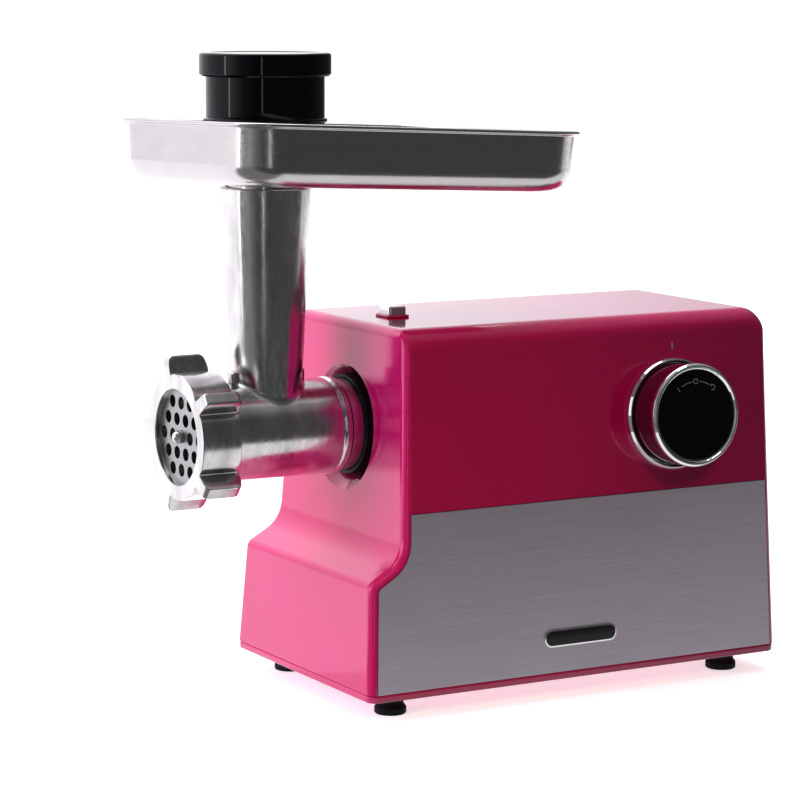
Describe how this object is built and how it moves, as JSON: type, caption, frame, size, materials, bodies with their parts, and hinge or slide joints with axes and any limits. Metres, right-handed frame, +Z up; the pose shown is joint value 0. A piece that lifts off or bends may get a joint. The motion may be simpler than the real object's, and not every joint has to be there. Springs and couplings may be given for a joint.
{
  "type": "electric meat grinder",
  "caption": "Electric meat grinder with a geared motor in a moulded housing, a cast head with feed tube, a ring nut, a feed tray and a pusher.",
  "frame": {"origin": "on the table plane, midway between the four feet", "axes": "+Z up, +X to the rear of the housing, -X to the outlet, -Y to the side with the knob"},
  "size_m": [0.396, 0.2064, 0.4052],
  "materials": {
    "pink_plastic": "gloss",
    "brushed_steel": "brushed",
    "rubber": "matt",
    "fastener_steel": "satin",
    "badge_black": "gloss",
    "mark_white": "matt",
    "chrome": "polished",
    "knob_wine": "gloss",
    "black_gloss": "gloss",
    "black_plastic": "satin",
    "gear_case": "cast",
    "bronze": "satin",
    "motor_steel": "satin",
    "copper": "satin",
    "gear_nylon": "satin",
    "cast_aluminium": "polished casting",
    "plate_steel": "ground",
    "tray_steel": "brushed"
  },
  "bodies": {
    "housing": {"housing_shell": "pink_plastic", "steel_panel_near": "brushed_steel", "steel_panel_far": "brushed_steel", "base_pan": "pink_plastic", "rubber_feet": "rubber", "foot_screws": "fastener_steel", "base_screws": "fastener_steel", "badge": "badge_black", "index_mark": "mark_white", "knob_bezel": "chrome", "button_bezel": "pink_plastic", "cord_gland": "black_plastic", "gearbox_case": "gear_case", "gearbox_cover": "gear_case", "gearbox_screws": "fastener_steel", "shaft_bushes": "bronze", "head_socket": "black_plastic", "motor_stator": "motor_steel", "field_windings": "copper", "motor_bracket": "gear_case", "motor_bearings": "motor_steel", "brush_holders": "bronze", "rotary_switch": "black_plastic", "latch_guide": "black_plastic"},
    "rotor": {"motor_shaft": "motor_steel", "armature": "copper", "commutator": "copper", "cooling_fan": "black_plastic", "motor_pinion": "motor_steel"},
    "gear_1": {"wheel_1": "gear_nylon", "pinion_shaft_1": "motor_steel"},
    "gear_2": {"wheel_2": "gear_nylon", "pinion_shaft_2": "motor_steel"},
    "drive": {"output_wheel": "gear_nylon", "output_shaft": "motor_steel"},
    "button": {"release_button": "chrome", "latch_stem": "black_plastic", "button_spring": "motor_steel"},
    "knob": {"knob_body": "knob_wine", "knob_ring": "chrome", "knob_face": "black_gloss", "knob_shaft": "motor_steel"},
    "collar": {"lock_collar": "black_plastic"},
    "head": {"head_casting": "cast_aluminium", "rear_bush": "gear_nylon"},
    "auger": {"auger": "cast_aluminium", "knife": "plate_steel"},
    "plate": {"cutting_plate": "plate_steel"},
    "nut": {"ring_nut": "cast_aluminium"},
    "tray": {"feed_tray": "tray_steel"},
    "pusher": {"pusher_handle": "black_gloss", "plunger": "black_gloss"},
    "cap": {"pusher_cap": "black_gloss"}
  },
  "joints": [
    {"name": "rotor_spin", "type": "hinge", "parent": "housing", "child": "rotor", "pos_m": [0, 0, 0.075], "axis": [1, 0, 0], "continuous": true},
    {"name": "gear_1_spin", "type": "hinge", "parent": "housing", "child": "gear_1", "pos_m": [0, 0.008, 0.10969], "axis": [1, 0, 0], "continuous": true},
    {"name": "gear_2_spin", "type": "hinge", "parent": "housing", "child": "gear_2", "pos_m": [0, 0.038, 0.13343], "axis": [1, 0, 0], "continuous": true},
    {"name": "drive_spin", "type": "hinge", "parent": "housing", "child": "drive", "pos_m": [0, 0, 0.1718], "axis": [1, 0, 0], "continuous": true},
    {"name": "button_press", "type": "slide", "parent": "housing", "child": "button", "axis": [0, 0, -1], "range_m": [0, 0.004], "stiffness_N_per_m": 400, "springref_m": -0.002, "deforming": ["button_spring"]},
    {"name": "knob_turn", "type": "hinge", "parent": "housing", "child": "knob", "pos_m": [0.076, -0.07784, 0.1745], "axis": [0, -0.9965, 0.0838], "range_deg": [-50, 50]},
    {"name": "collar_turn", "type": "hinge", "parent": "housing", "child": "collar", "pos_m": [0, 0, 0.1718], "axis": [1, 0, 0], "range_deg": [0, 30]},
    {"name": "head_slide", "type": "slide", "parent": "collar", "child": "head", "axis": [-1, 0, 0], "range_m": [0, 0.05]},
    {"name": "auger_slide", "type": "slide", "parent": "drive", "child": "auger", "axis": [-1, 0, 0], "range_m": [0, 0.05]},
    {"name": "plate_slide", "type": "slide", "parent": "head", "child": "plate", "axis": [-1, 0, 0], "range_m": [0, 0.012]},
    {"name": "nut_turn", "type": "hinge", "parent": "plate", "child": "nut", "pos_m": [0, 0, 0.1718], "axis": [1, 0, 0], "range_deg": [-1440, 0]},
    {"name": "tray_lift", "type": "slide", "parent": "head", "child": "tray", "axis": [0, 0, 1], "range_m": [0, 0.06]},
    {"name": "pusher_lift", "type": "slide", "parent": "tray", "child": "pusher", "axis": [0, 0, 1], "range_m": [0, 0.12]},
    {"name": "cap_turn", "type": "hinge", "parent": "pusher", "child": "cap", "pos_m": [-0.1768, 0, 0], "axis": [0, 0, 1], "range_deg": [0, 60]}
  ],
  "couplings": [
    {"joint": "gear_1_spin", "follows": "rotor_spin", "ratio": -0.1875},
    {"joint": "gear_2_spin", "follows": "rotor_spin", "ratio": 0.051562},
    {"joint": "drive_spin", "follows": "rotor_spin", "ratio": -0.014732},
    {"joint": "auger_slide", "follows": "head_slide", "ratio": 1},
    {"joint": "nut_turn", "follows": "plate_slide", "rad_per_m": -2094.4}
  ]
}
